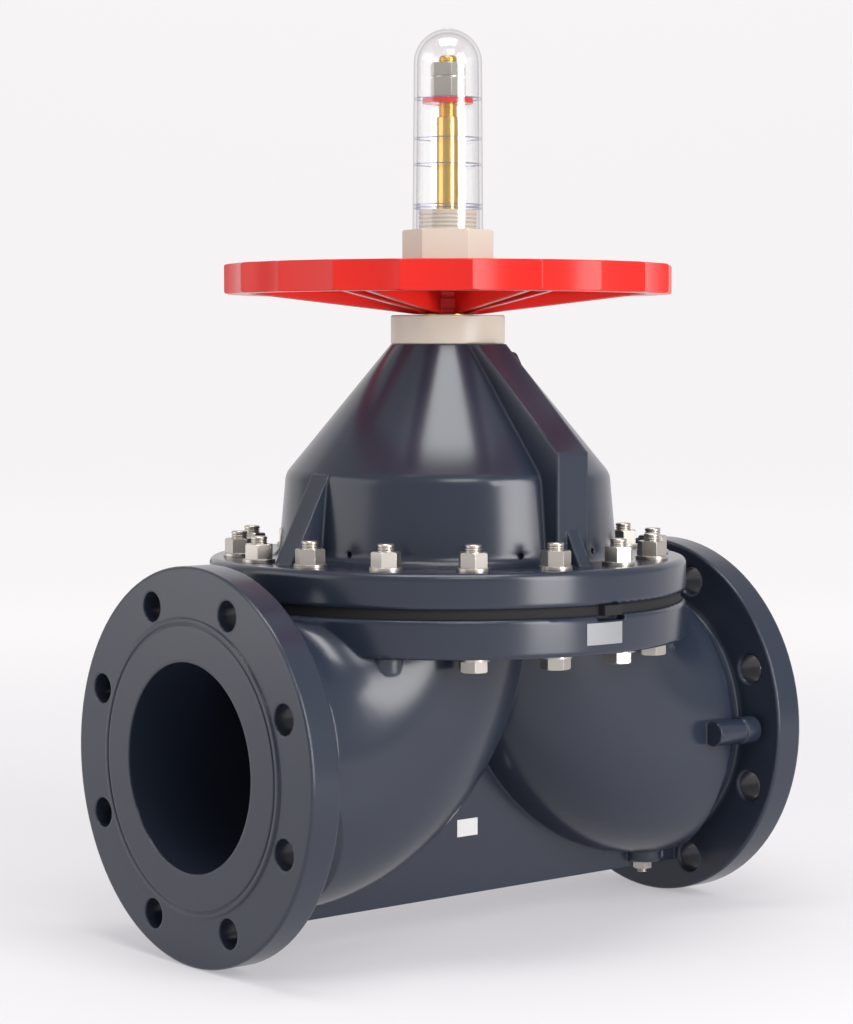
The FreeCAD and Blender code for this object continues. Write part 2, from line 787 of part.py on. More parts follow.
def make_compressor():
    """Hub with a cross wing along Y bent like the bowl, and two arms along X."""
    foot_z, top_z = compressor_foot_z, compressor_top_z
    hub = cylinder(compressor_hub_r, foot_z, top_z)
    under_r = bowl_cylinder_r - diaphragm_pad_t
    wing_top_z = top_z - compressor_wing_t / 2.0
    wing = box(-compressor_half_w, compressor_half_w, -compressor_reach, compressor_reach,
               foot_z, wing_top_z)
    hollow = Part.makeCylinder(under_r, 4 * compressor_half_w,
                               vec(-2 * compressor_half_w, 0, foot_z + under_r), axis_x)
    above = Part.makeCylinder(under_r, 4 * compressor_half_w,
                              vec(-2 * compressor_half_w, 0, foot_z + under_r + 2 * compressor_wing_t), axis_x)
    wing = wing.common(hollow).cut(above)
    arm = box(-compressor_reach, compressor_reach, -compressor_side_half_w - compressor_wing_t / 2.0,
              compressor_side_half_w + compressor_wing_t / 2.0, foot_z, wing_top_z)
    arm_r = compressor_side_drop_r
    arm_hollow = Part.makeCylinder(arm_r, 4 * compressor_half_w + compressor_reach,
                                   vec(0, -compressor_reach, foot_z + arm_r), axis_y)
    arm_above = Part.makeCylinder(arm_r, 4 * compressor_half_w + compressor_reach,
                                  vec(0, -compressor_reach, foot_z + arm_r + 2 * compressor_wing_t), axis_y)
    arm = arm.common(arm_hollow).cut(arm_above)
    pad = cylinder(pad_r, foot_z, foot_z + compressor_wing_t)
    solid = fuse_all(hub, [wing, arm, pad])
    slot_half_w = guide_half_w + free_gap
    slot = box(guide_inner_r - free_gap, compressor_reach + past, -slot_half_w, slot_half_w,
               foot_z - past, top_z + past)
    cuts = [slot, mirrored_x(slot),
            cylinder(stem_r + thread_gap, stem_foot_z, top_z + past),
            cylinder(insert_stud_r + thread_gap, foot_z - past, foot_z + insert_stud_h + stem_chamfer),
            pin_rod(stem_pin_r + thread_gap, compressor_hub_r + past)]
    return solid.cut(cuts)


def pin_rod(r, reach):
    return Part.makeCylinder(r, 2 * reach, vec(0, -reach, stem_pin_z), axis_y)


def make_compressor_pin():
    return pin_rod(stem_pin_r, compressor_hub_r - stem_chamfer)


def make_stem():
    """Stem: plain foot, coarse thread, smooth upper rod and threaded tip."""
    foot = cylinder(stem_r, stem_foot_z, compressor_top_z + stem_r)
    thread = threaded(stem_r, compressor_top_z + stem_r, stem_shoulder_z,
                      stem_thread_pitch, stem_thread_depth, stem_chamfer)
    rod = spin([(0, stem_shoulder_z, 0), (stem_top_r, stem_shoulder_z, 0),
                (stem_top_r, stem_tip_foot_z, stem_chamfer / 2.0), (0, stem_tip_foot_z, 0)])
    tip = threaded(stem_tip_r, stem_tip_foot_z, stem_tip_top_z,
                   tip_thread_pitch, tip_thread_depth, stem_chamfer)
    solid = fuse_all(foot, [thread, rod, tip])
    return solid.cut(pin_rod(stem_pin_r + thread_gap, compressor_hub_r))


def key_slot(width, inner_x, outer_x):
    foot_z = wheel_hub_foot_z + key_w
    return box(inner_x, outer_x, -width / 2.0, width / 2.0, foot_z, foot_z + key_length)


def make_sleeve():
    """Sleeve with the stem thread; its flange runs between the thrust rings."""
    flange_top_z = sleeve_flange_z + sleeve_flange_t
    solid = spin(plain([(0, sleeve_foot_z), (sleeve_r, sleeve_foot_z), (sleeve_r, sleeve_flange_z),
                        (sleeve_flange_r, sleeve_flange_z), (sleeve_flange_r, flange_top_z),
                        (sleeve_r, flange_top_z), (sleeve_r, sleeve_top_z - stem_chamfer),
                        (sleeve_r - stem_chamfer, sleeve_top_z), (0, sleeve_top_z)]))
    thread_top_z = sleeve_foot_z + sleeve_thread_length
    bore = cylinder(stem_r + running_gap, sleeve_foot_z - past, thread_top_z)
    clear = cylinder(sleeve_clear_r, thread_top_z, sleeve_top_z + past)
    slot = key_slot(key_w, sleeve_r - key_h / 2.0, sleeve_r + key_h)
    return solid.cut([bore, clear, slot])


def thrust_ring(foot_z):
    return tube(thrust_ring_r, sleeve_r + free_gap, foot_z, foot_z + thrust_ring_t)


def make_bearing_cap():
    """Cap screwed into the bonnet top, holding the sleeve down."""
    solid = spin([(0, cap_spigot_z, 0), (cap_bore_r - cap_spigot_gap, cap_spigot_z, 0),
                  (cap_bore_r - cap_spigot_gap, bonnet_top_z, 0), (cap_r, bonnet_top_z, cap_edge),
                  (cap_r, cap_top_z, cap_edge), (0, cap_top_z, 0)])
    ring_z = bonnet_top_z + cap_o_ring_rise
    groove = cylinder(sleeve_r + 2 * o_ring_r + running_gap, ring_z - o_ring_r, ring_z + o_ring_r)
    bore = cylinder(sleeve_r + running_gap, cap_spigot_z - past, cap_top_z + past)
    return solid.cut([bore, groove])


def ring_seal(centre_r, section_r, z):
    return Part.makeTorus(centre_r, section_r, vec(0, 0, z), axis_up)


def wheel_scallop_cutters():
    pitch = 360.0 / wheel_scallops
    chord_r = wheel_ridge_r * math.cos(math.radians(pitch / 2.0)) - wheel_scallop_depth
    centre_r = chord_r + wheel_scallop_r
    foot_z = wheel_rim_foot_z - past
    top_z = wheel_rim_foot_z + wheel_rim_h + past
    angles = [wheel_ridge_angle + pitch * (i + 0.5) for i in range(wheel_scallops)]
    return around(cylinder(wheel_scallop_r, foot_z, top_z), angles, centre_r)


def wheel_spoke_angles():
    return [wheel_rib_angle + 360.0 * i / wheel_rib_count for i in range(wheel_rib_count)]


def wheel_windows():
    """Cutter for the openings between the spokes."""
    foot_z = wheel_rim_foot_z - past
    top_z = wheel_rim_foot_z + wheel_rim_h + past
    spoke = box(0.0, wheel_ridge_r, -wheel_spoke_half_w, wheel_spoke_half_w, foot_z, top_z)
    ring = tube(wheel_window_outer_r, wheel_window_inner_r, foot_z, top_z)
    return ring.cut([turned(spoke, angle) for angle in wheel_spoke_angles()])


def wheel_rib():
    """Deep rib under a spoke, from the hub foot to the rim foot."""
    web_z = wheel_rim_foot_z + wheel_web_rise
    half_t = wheel_rib_t / 2.0
    inner_r = wheel_hub_r - half_t
    return slab_x(plain([(inner_r, wheel_hub_foot_z), (wheel_hub_r, wheel_hub_foot_z),
                         (wheel_rim_inner_r, wheel_rim_foot_z),
                         (wheel_rim_inner_r + half_t, wheel_rim_foot_z),
                         (wheel_rim_inner_r + half_t, web_z + half_t), (inner_r, web_z + half_t)]), half_t)


def make_handwheel():
    rim_top_z = wheel_rim_foot_z + wheel_rim_h
    web_z = wheel_rim_foot_z + wheel_web_rise
    web_top_z = web_z + wheel_web_t
    solid = spin([(0, wheel_hub_foot_z, 0), (wheel_hub_r, wheel_hub_foot_z, wheel_hub_edge),
                  (wheel_hub_r, web_z, wheel_rim_edge), (wheel_rim_inner_r, web_z, wheel_hub_edge),
                  (wheel_rim_inner_r, wheel_rim_foot_z, wheel_hub_edge),
                  (wheel_ridge_r, wheel_rim_foot_z, wheel_rim_edge),
                  (wheel_ridge_r, rim_top_z, wheel_rim_edge), (wheel_rim_inner_r, rim_top_z, 2 * wheel_hub_edge),
                  (wheel_rim_inner_r, web_top_z, wheel_rim_edge),
                  (wheel_hub_top_r, web_top_z, wheel_rim_edge),
                  (wheel_hub_top_r, wheel_hub_top_z, wheel_hub_edge), (0, wheel_hub_top_z, 0)])
    solid = solid.cut(wheel_scallop_cutters() + [wheel_windows()])
    ribs = [turned(moved(wheel_rib(), 0, side * wheel_rib_shift, 0), angle + side * wheel_rib_splay)
            for angle in wheel_spoke_angles() for side in (-1, 1)]
    pad_z = wheel_hub_foot_z + wheel_pad_rise
    pad = box(wheel_hub_r - wheel_pad_h, wheel_hub_r + wheel_pad_t, -wheel_pad_w / 2.0,
              wheel_pad_w / 2.0, pad_z, pad_z + wheel_pad_h)
    solid = fuse_all(solid, ribs + [turned(pad, wheel_pad_angle)])
    bore = cylinder(sleeve_r + thread_gap, wheel_hub_foot_z - past, wheel_hub_top_z + past)
    slot = key_slot(key_w, 0.0, sleeve_r + key_h / 2.0)
    return solid.cut([bore, slot])


def make_wheel_key():
    return key_slot(key_w, sleeve_r - key_h / 2.0, sleeve_r + key_h / 2.0)


def make_wheel_nut():
    """Hexagonal nut with a threaded neck for the gauge cover."""
    flats = wheel_nut_corner_r * math.sqrt(3.0)
    hexagonal = turned(hexagon(flats, wheel_nut_foot_z, wheel_nut_top_z, wheel_nut_edge), wheel_nut_angle)
    neck = threaded(wheel_neck_r, wheel_nut_top_z, wheel_neck_top_z, wheel_neck_pitch,
                    wheel_neck_thread_depth, wheel_neck_thread_depth)
    solid = fuse_all(hexagonal, [neck])
    return solid.cut([cylinder(sleeve_r + thread_gap, wheel_nut_foot_z - past, sleeve_top_z + free_gap),
                      cylinder(wheel_nut_bore_r, sleeve_top_z, wheel_neck_top_z + past)])


def make_gauge_cover():
    """Clear cover with a domed top and fine scale lines round it."""
    dome_z = cover_top_z - cover_r
    inner_r = cover_r - cover_wall
    foot_z = wheel_nut_top_z + free_gap
    slope_r = cover_foot_r - cover_wall
    outer = spin(plain([(0, foot_z), (cover_foot_r, foot_z), (cover_r, dome_z), (0, dome_z)]))
    dome = Part.makeSphere(cover_r, vec(0, 0, dome_z))
    nub = cylinder(cover_nub_r, cover_top_z - cover_wall / 2.0, cover_top_z + cover_nub_h)
    inner = spin(plain([(0, foot_z - past), (slope_r, foot_z - past), (inner_r, dome_z), (0, dome_z)]))
    inner_dome = Part.makeSphere(inner_r, vec(0, 0, dome_z))
    solid = fuse_all(outer, [dome, nub]).cut([inner, inner_dome])
    lines = [tube(cover_foot_r + past, cover_line_r(z), z - cover_line_h / 2.0, z + cover_line_h / 2.0)
             for z in cover_line_levels()]
    return solid.cut(lines)


def cover_line_levels():
    foot_z = wheel_nut_top_z + free_gap
    return [foot_z + share * (cover_top_z - cover_r - foot_z) for share in cover_line_shares]


def cover_line_r(z):
    foot_z = wheel_nut_top_z + free_gap
    share = (z - foot_z) / (cover_top_z - cover_r - foot_z)
    return cover_foot_r + share * (cover_r - cover_foot_r) - cover_line_depth


def make_disc():
    return tube(disc_r, stem_tip_r + thread_gap, disc_foot_z, disc_foot_z + disc_t)


def nut(flats, foot_z, height, bore):
    body = hexagon(flats, foot_z, foot_z + height, flats / 20.0)
    return body.cut(cylinder(bore, foot_z - past, foot_z + height + past))


def make_stop_nut():
    return nut(stop_nut_flats, disc_foot_z + disc_t, stop_nut_h, stem_tip_r + thread_gap)


def make_spring_washer():
    foot_z = disc_foot_z + disc_t + stop_nut_h
    ring = tube(spring_washer_r, stem_tip_r + thread_gap, foot_z, foot_z + spring_washer_t)
    half_w = spring_washer_slot / 2.0
    return ring.cut(box(0, spring_washer_r + past, -half_w, half_w, foot_z - past, foot_z + spring_washer_t + past))


def make_lock_nut():
    foot_z = disc_foot_z + disc_t + stop_nut_h + spring_washer_t
    return nut(stop_nut_flats, foot_z, lock_nut_h, stem_tip_r + thread_gap)


def bolt_top_z():
    return bonnet_rim_top_z + washer_t + nut_h + bolt_stand_out


def bolt_rod(foot_z):
    thread_z = bolt_top_z() - bolt_thread_length
    shank = cylinder(bolt_r, foot_z, thread_z)
    thread = threaded(bolt_r, thread_z, bolt_top_z(), bolt_thread_pitch, bolt_thread_depth, bolt_thread_depth)
    return shank.fuse(thread).removeSplitter()


def bolt():
    head_z = body_rim_foot_z - washer_t
    head = hexagon(nut_flats, head_z - head_h, head_z, nut_flats / 20.0)
    flipped = head.mirror(vec(0, 0, head_z - head_h / 2.0), axis_up)
    return flipped.fuse(bolt_rod(head_z)).removeSplitter()


def make_bolts():
    return Part.makeCompound(around(bolt(), through_angles(), bolt_circle_r))


def make_studs():
    return Part.makeCompound(around(bolt_rod(seat_z - stud_depth), stud_angles(), bolt_circle_r))


def make_stud_inserts():
    foot_z = seat_z - stud_insert_h
    shell = cylinder(stud_insert_r, foot_z, seat_z).cut(
        cylinder(bolt_r + thread_gap, seat_z - stud_depth, seat_z + past))
    return Part.makeCompound(around(shell, stud_angles(), bolt_circle_r))


def make_nuts():
    foot_z = bonnet_rim_top_z + washer_t
    one = nut(nut_flats, foot_z, nut_h, bolt_r + thread_gap)
    return Part.makeCompound(around(one, bolt_angles(), bolt_circle_r))


def make_washers(foot_z, angles):
    one = tube(washer_r, bolt_r + thread_gap, foot_z, foot_z + washer_t)
    return Part.makeCompound(around(one, angles, bolt_circle_r))


def make_base_inserts():
    top_z = base_boss_foot_z + base_insert_h
    shells = [tube(base_insert_r, base_stud_r + thread_gap, base_boss_foot_z, top_z, x, y)
              for x, y in base_places()]
    return Part.makeCompound(shells)


def make_base_studs():
    foot_z = base_boss_foot_z - base_stud_out
    top_z = base_boss_foot_z + base_stud_depth
    one = threaded(base_stud_r, foot_z, top_z, bolt_thread_pitch, bolt_thread_depth, bolt_thread_depth)
    return Part.makeCompound([moved(one, x, y, 0) for x, y in base_places()])


def make_base_nuts():
    foot_z = base_boss_foot_z - base_nut_h
    one = nut(base_nut_flats, foot_z, base_nut_h, base_stud_r + thread_gap)
    return Part.makeCompound([moved(one, x, y, 0) for x, y in base_places()])


def vent_direction():
    angle = math.radians(vent_leg_angle)
    return vec(math.sin(angle), 0, -math.cos(angle))


def make_vent_elbow():
    """Elbow screwed into the cone: level leg, ball bend and a leg hanging along the cone."""
    start_r = cone_wall_r(vent_z) - vent_thread_depth
    bend = vec(vent_bend_r, 0, vent_z)
    level = Part.makeCylinder(vent_thread_r, vent_bend_r - start_r, vec(start_r, 0, vent_z), axis_x)
    collar_start = cone_wall_r(vent_z - vent_r) + free_gap
    collar = Part.makeCylinder(vent_r, vent_bend_r - collar_start, vec(collar_start, 0, vent_z), axis_x)
    ball = Part.makeSphere(vent_r, bend)
    leg = Part.makeCylinder(vent_r, vent_leg_length, bend, vent_direction())
    return fuse_all(level, [collar, ball, leg])


def make_vent_tip():
    start = vec(vent_bend_r, 0, vent_z) + vent_direction() * vent_leg_length
    return Part.makeCylinder(vent_tip_r, vent_tip_length, start, vent_direction())


def make_label():
    """Bare foil bent round the body rim under the tab of the diaphragm."""
    foot_z = body_rim_foot_z + label_rise
    half_angle = math.degrees(label_w / (2.0 * rim_r))
    face = Part.makePlane(label_t, label_h, vec(rim_r, 0, foot_z), vec(0, -1, 0), axis_x)
    sheet = face.revolve(origin, axis_up, 2 * half_angle)
    return turned(sheet, label_angle - half_angle)


def make_sticker():
    half_w = sticker_w / 2.0
    return box(sticker_x - half_w, sticker_x + half_w, -web_half_t - sticker_t, -web_half_t,
               sticker_z, sticker_z + sticker_h)


def write(name, shape):
    shape.exportStep("parts/" + name + ".step")


def main():
    os.makedirs("parts", exist_ok=True)
    write("body", make_body())
    write("bonnet", make_bonnet())
    write("diaphragm", make_diaphragm())
    write("diaphragm_insert", make_diaphragm_insert())
    write("compressor", make_compressor())
    write("compressor_pin", make_compressor_pin())
    write("stem", make_stem())
    write("sleeve", make_sleeve())
    write("thrust_ring_lower", thrust_ring(bonnet_shelf_z))
    write("thrust_ring_upper", thrust_ring(sleeve_flange_z + sleeve_flange_t))
    write("bearing_cap", make_bearing_cap())
    write("cap_o_ring", ring_seal(sleeve_r + running_gap + o_ring_r, o_ring_r, bonnet_top_z + cap_o_ring_rise))
    write("handwheel", make_handwheel())
    write("wheel_key", make_wheel_key())
    write("wheel_washer", tube(wheel_washer_r, sleeve_r + thread_gap, wheel_hub_top_z, wheel_nut_foot_z))
    write("wheel_nut", make_wheel_nut())
    write("gauge_cover", make_gauge_cover())
    write("indicator_disc", make_disc())
    write("stop_nut", make_stop_nut())
    write("spring_washer", make_spring_washer())
    write("lock_nut", make_lock_nut())
    write("bonnet_bolts", make_bolts())
    write("bonnet_studs", make_studs())
    write("stud_inserts", make_stud_inserts())
    write("bonnet_nuts", make_nuts())
    write("bonnet_washers", make_washers(bonnet_rim_top_z, bolt_angles()))
    write("bolt_washers", make_washers(body_rim_foot_z - washer_t, through_angles()))
    write("base_inserts", make_base_inserts())
    write("base_studs", make_base_studs())
    write("base_nuts", make_base_nuts())
    write("vent_elbow", make_vent_elbow())
    write("vent_tip", make_vent_tip())
    write("rim_label", make_label())
    write("web_sticker", make_sticker())


main()
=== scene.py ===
import math

import bmesh
import bpy
from bpy.props import FloatProperty, FloatVectorProperty, PointerProperty
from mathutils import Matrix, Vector


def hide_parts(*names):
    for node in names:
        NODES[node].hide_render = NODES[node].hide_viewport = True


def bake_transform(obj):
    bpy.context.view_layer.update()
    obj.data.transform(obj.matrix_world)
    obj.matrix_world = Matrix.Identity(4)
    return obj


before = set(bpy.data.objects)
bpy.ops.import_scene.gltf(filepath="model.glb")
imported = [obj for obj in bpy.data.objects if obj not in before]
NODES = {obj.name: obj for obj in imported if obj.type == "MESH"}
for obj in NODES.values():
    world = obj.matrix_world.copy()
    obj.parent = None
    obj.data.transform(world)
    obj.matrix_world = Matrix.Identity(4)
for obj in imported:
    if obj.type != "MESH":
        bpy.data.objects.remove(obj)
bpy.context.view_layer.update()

bl_info = {
    "name": "Diaphragm valve looks",
    "version": (1, 0, 0),
    "blender": (4, 5, 0),
    "location": "3D View > Sidebar > Valve",
    "description": "Finishes, bending diaphragm, labels and studio for the diaphragm valve",
    "category": "3D View",
}

# Skin and edges of every finish
CLOUD_SIZE = 9.0
TONE_SPREAD = 0.07
BEVEL_SAMPLES = 6

# Grooves and wall of the gauge cover
GROOVE_DEPTHS = (0.00015, 0.00045)
GROOVE_WIDTH = 0.0012
WALL_FALLOFF = 4.0
WALL_CLEAR = 0.99

# Floor, camera and room
FLOOR_HALF = 9.0
FLOOR_BACK = 7.0
FLOOR_RISE = 6.0
FLOOR_SWEEP = 2.0
FLOOR_STEPS = 16
FLOOR_ROUGH = 0.75
FLOOR_GLOSS = 0.1
SENSOR = 36.0
FAR_CLIP = 60.0
ROOM_TINT = (1.0, 0.99, 0.985)

# Lamps: name, distance to the front, to the right and up, width and height
LAMP_TARGET = (0.0, 0.0, 0.30)
LAMPS = (
    ("key", 1.4, 1.5, 0.8, (0.85, 1.8)),
    ("fill", 0.4, -2.1, 0.8, (2.0, 1.8)),
    ("top", 0.35, 0.0, 2.2, (1.3, 0.7)),
    ("front", 1.6, 0.3, 1.8, (0.8, 0.6)),
)


def colour(name, text, default):
    return FloatVectorProperty(name=name, description=text, subtype="COLOR", size=3,
                               min=0.0, max=1.0, default=default)


def share(name, text, default):
    return FloatProperty(name=name, description=text, subtype="FACTOR", min=0.0, max=1.0,
                         default=default)


def distance(name, text, default):
    return FloatProperty(name=name, description=text, subtype="DISTANCE", unit="LENGTH",
                         min=0.0, default=default)


class PlasticSettings(bpy.types.PropertyGroup):
    """Grey pipe plastic of body and bonnet."""

    tone: colour("Colour", "Base colour of the pipe plastic", (0.018, 0.024, 0.040))
    rough: share("Roughness", "Roughness of the moulded skin", 0.22)
    edge: distance("Edge rounding", "Radius that softens moulded edges", 0.0026)
    ripple: share("Ripple", "Depth of the soft waves in the moulded skin", 0.25)


class WheelSettings(bpy.types.PropertyGroup):
    """Red plastic of handwheel and indicator disc."""

    tone: colour("Colour", "Base colour of the handwheel", (0.60, 0.018, 0.013))
    rough: share("Roughness", "Roughness of the handwheel", 0.22)
    edge: distance("Edge rounding", "Radius that softens edges of the wheel", 0.0015)


class CreamSettings(bpy.types.PropertyGroup):
    """Cream plastic of bearing cap and wheel nut."""

    tone: colour("Colour", "Base colour of cap and wheel nut", (0.55, 0.50, 0.42))
    rough: share("Roughness", "Roughness of cap and wheel nut", 0.36)
    edge: distance("Edge rounding", "Radius that softens their edges", 0.0008)


class MetalSettings(bpy.types.PropertyGroup):
    """Stainless fasteners and brass pieces."""

    steel: colour("Steel", "Colour of the stainless fasteners", (0.50, 0.47, 0.43))
    steel_rough: share("Steel roughness", "Roughness of the fasteners", 0.33)
    brass: colour("Brass", "Colour of stem and inserts", (0.78, 0.52, 0.16))
    brass_rough: share("Brass roughness", "Roughness of the brass", 0.24)
    edge: distance("Edge rounding", "Radius that softens metal edges", 0.0004)


class DarkSettings(bpy.types.PropertyGroup):
    """Rubber and black plastic."""

    rubber: colour("Rubber", "Colour of diaphragm and rings", (0.006, 0.006, 0.007))
    black: colour("Black plastic", "Colour of compressor and elbow", (0.020, 0.020, 0.022))
    rubber_rough: share("Rubber roughness", "Roughness of the rubber", 0.80)
    black_rough: share("Plastic roughness", "Roughness of the black plastic", 0.42)


class CoverSettings(bpy.types.PropertyGroup):
    """Clear cover over the position gauge."""

    rough: share("Roughness", "Roughness of the clear cover", 0.03)
    head_on: share("Head-on shine", "Share of light mirrored when seen square on", 0.06)
    side_on: share("Side-on shine", "Share of light mirrored at the outline", 0.35)
    # Painted shade: what is seen through the wall is drawn darker towards the outline, standing in
    # for light bent in the clear wall.
    outline_shade_tone: colour("Outline tint", "Tint of what is seen through the wall at the outline",
                     (0.55, 0.53, 0.56))
    line_tone: colour("Line colour", "Colour of the scale lines", (0.42, 0.42, 0.56))
    line_cover: share("Line cover", "How much a scale line hides", 0.55)
    line_half: distance("Line half height", "Half the height of a scale line", 0.00045)


class LabelSettings(bpy.types.PropertyGroup):
    """Bare foil and bare sticker."""

    foil: colour("Foil", "Colour of the foil on the rim", (0.29, 0.295, 0.31))
    foil_rough: share("Foil roughness", "Roughness of the foil", 0.5)
    paper: colour("Paper", "Colour of the sticker on the web", (0.66, 0.65, 0.65))
    paper_rough: share("Paper roughness", "Roughness of the sticker", 0.50)


class StageSettings(bpy.types.PropertyGroup):
    """Camera, lamps, floor and world."""

    azimuth: FloatProperty(name="Azimuth", description="Camera azimuth from the front",
                           subtype="ANGLE", default=math.radians(-39.815))
    elevation: FloatProperty(name="Elevation", description="Camera height angle",
                             subtype="ANGLE", default=math.radians(3.495))
    reach: distance("Distance", "Camera distance from the point looked at", 2.069)
    lens: FloatProperty(name="Lens", description="Focal length on a 36 mm sensor",
                        subtype="DISTANCE_CAMERA", default=96.06)
    aim: FloatVectorProperty(name="Aim", description="Point looked at", subtype="TRANSLATION",
                             unit="LENGTH", size=3, default=(-0.0124, 0.0102, 0.3141))
    floor: colour("Floor", "Colour of floor and backdrop", (0.42, 0.413, 0.418))
    glow_near: colour("Near glow", "Even brightness of the floor round the valve",
                      (0.36, 0.352, 0.37))
    glow_far: colour("Far glow", "Even brightness of the backdrop", (0.635, 0.62, 0.63))
    glow_start: distance("Glow start", "Distance at which the floor starts to brighten", 0.25)
    glow_end: distance("Glow end", "Distance at which the backdrop is at its brightest", 2.5)
    backdrop: colour("Backdrop", "Colour seen behind the valve", (0.93, 0.92, 0.923))
    sky: FloatProperty(name="Sky light", description="Strength of the even light of the room",
                       min=0.0, default=0.50)
    key: FloatProperty(name="Key light", description="Power of the tall lamp on the right",
                       subtype="POWER", unit="POWER", min=0.0, default=40.0)
    fill: FloatProperty(name="Fill light", description="Power of the wide lamp on the left",
                        subtype="POWER", unit="POWER", min=0.0, default=16.0)
    top: FloatProperty(name="Top light", description="Power of the lamp overhead",
                       subtype="POWER", unit="POWER", min=0.0, default=23.0)
    front: FloatProperty(name="Front light", description="Power of the lamp over the camera",
                         subtype="POWER", unit="POWER", min=0.0, default=8.0)


def node(tree, kind, place, **values):
    made = tree.nodes.new(kind)
    made.location = place
    for key, value in values.items():
        setattr(made, key, value)
    return made


def new_group(name, inputs, outputs):
    group = bpy.data.node_groups.new(name, "ShaderNodeTree")
    for label, default, low, high in inputs:
        socket = group.interface.new_socket(label, in_out="INPUT", socket_type="NodeSocketFloat")
        socket.default_value = default
        socket.min_value = low
        socket.max_value = high
    for label, kind in outputs:
        group.interface.new_socket(label, in_out="OUTPUT", socket_type=kind)
    start = node(group, "NodeGroupInput", (-800, 0))
    end = node(group, "NodeGroupOutput", (700, 0))
    return group, start, end


def skin_group():
    """Soft waves and fine grain of a moulded or machined surface."""
    group, start, end = new_group(
        "skin",
        [("Wave Size", 40.0, 0.0, 5000.0), ("Grain Size", 900.0, 0.0, 20000.0),
         ("Wave", 0.5, 0.0, 1.0), ("Grain", 0.5, 0.0, 1.0), ("Spread", 0.08, 0.0, 1.0)],
        [("Height", "NodeSocketFloat"), ("Roughness Shift", "NodeSocketFloat"),
         ("Shade", "NodeSocketFloat")])
    spot = node(group, "ShaderNodeTexCoord", (-800, -300))
    waves = node(group, "ShaderNodeTexNoise", (-500, 200))
    waves.inputs["Detail"].default_value = 2.0
    grain = node(group, "ShaderNodeTexNoise", (-500, -100))
    grain.inputs["Detail"].default_value = 3.0
    cloud = node(group, "ShaderNodeTexNoise", (-500, -400))
    cloud.inputs["Detail"].default_value = 5.0
    cloud.inputs["Scale"].default_value = CLOUD_SIZE
    for made, size in ((waves, "Wave Size"), (grain, "Grain Size")):
        group.links.new(spot.outputs["Object"], made.inputs["Vector"])
        group.links.new(start.outputs[size], made.inputs["Scale"])
    group.links.new(spot.outputs["Object"], cloud.inputs["Vector"])
    wave_part = node(group, "ShaderNodeMath", (-200, 200), operation="MULTIPLY")
    grain_part = node(group, "ShaderNodeMath", (-200, 0), operation="MULTIPLY")
    total = node(group, "ShaderNodeMath", (50, 100), operation="ADD")
    group.links.new(waves.outputs["Fac"], wave_part.inputs[0])
    group.links.new(start.outputs["Wave"], wave_part.inputs[1])
    group.links.new(grain.outputs["Fac"], grain_part.inputs[0])
    group.links.new(start.outputs["Grain"], grain_part.inputs[1])
    group.links.new(wave_part.outputs[0], total.inputs[0])
    group.links.new(grain_part.outputs[0], total.inputs[1])
    group.links.new(total.outputs[0], end.inputs["Height"])
    centred = node(group, "ShaderNodeMath", (-200, -300), operation="SUBTRACT")
    centred.inputs[1].default_value = 0.5
    shift = node(group, "ShaderNodeMath", (50, -200), operation="MULTIPLY")
    group.links.new(cloud.outputs["Fac"], centred.inputs[0])
    group.links.new(centred.outputs[0], shift.inputs[0])
    group.links.new(start.outputs["Spread"], shift.inputs[1])
    group.links.new(shift.outputs[0], end.inputs["Roughness Shift"])
    group.links.new(cloud.outputs["Fac"], end.inputs["Shade"])
    return group


def edge_group():
    """Rounded normals at sharp edges and a mask of where they are, which also places the painted
    edge highlight.
    """
    group, start, end = new_group(
        "soft_edge", [("Radius", 0.001, 0.0, 0.1), ("Strength", 8.0, 0.0, 100.0)],
        [("Normal", "NodeSocketVector"), ("Edge", "NodeSocketFloat")])
    bevel = node(group, "ShaderNodeBevel", (-400, 100), samples=BEVEL_SAMPLES)
    group.links.new(start.outputs["Radius"], bevel.inputs["Radius"])
    plain = node(group, "ShaderNodeNewGeometry", (-400, -200))
    dot = node(group, "ShaderNodeVectorMath", (-100, -100), operation="DOT_PRODUCT")
    group.links.new(bevel.outputs["Normal"], dot.inputs[0])
    group.links.new(plain.outputs["Normal"], dot.inputs[1])
    rest = node(group, "ShaderNodeMath", (100, -100), operation="SUBTRACT")
    rest.inputs[0].default_value = 1.0
    group.links.new(dot.outputs["Value"], rest.inputs[1])
    gain = node(group, "ShaderNodeMath", (300, -100), operation="MULTIPLY", use_clamp=True)
    group.links.new(rest.outputs[0], gain.inputs[0])
    group.links.new(start.outputs["Strength"], gain.inputs[1])
    group.links.new(bevel.outputs["Normal"], end.inputs["Normal"])
    group.links.new(gain.outputs[0], end.inputs["Edge"])
    return group


def band_group():
    """Mask of level bands at named heights, for the scale lines of the cover."""
    group, start, end = new_group("level_bands", [("Half Height", 0.0005, 0.0, 0.1)],
                                  [("Band", "NodeSocketFloat")])
    spot = node(group, "ShaderNodeTexCoord", (-800, -300))
    split = node(group, "ShaderNodeSeparateXYZ", (-600, -300))
    group.links.new(spot.outputs["Object"], split.inputs[0])
    total = None
    for i, height in enumerate(cover_line_heights()):
        near = node(group, "ShaderNodeMath", (-300, -150 * i), operation="COMPARE")
        near.inputs[1].default_value = height
        group.links.new(split.outputs["Z"], near.inputs[0])
        group.links.new(start.outputs["Half Height"], near.inputs[2])
        if total is None:
            total = near
            continue
        joined = node(group, "ShaderNodeMath", (-50, -150 * i), operation="MAXIMUM")
        group.links.new(total.outputs[0], joined.inputs[0])
        group.links.new(near.outputs[0], joined.inputs[1])
        total = joined
    group.links.new(total.outputs[0], end.inputs["Band"])
    return group


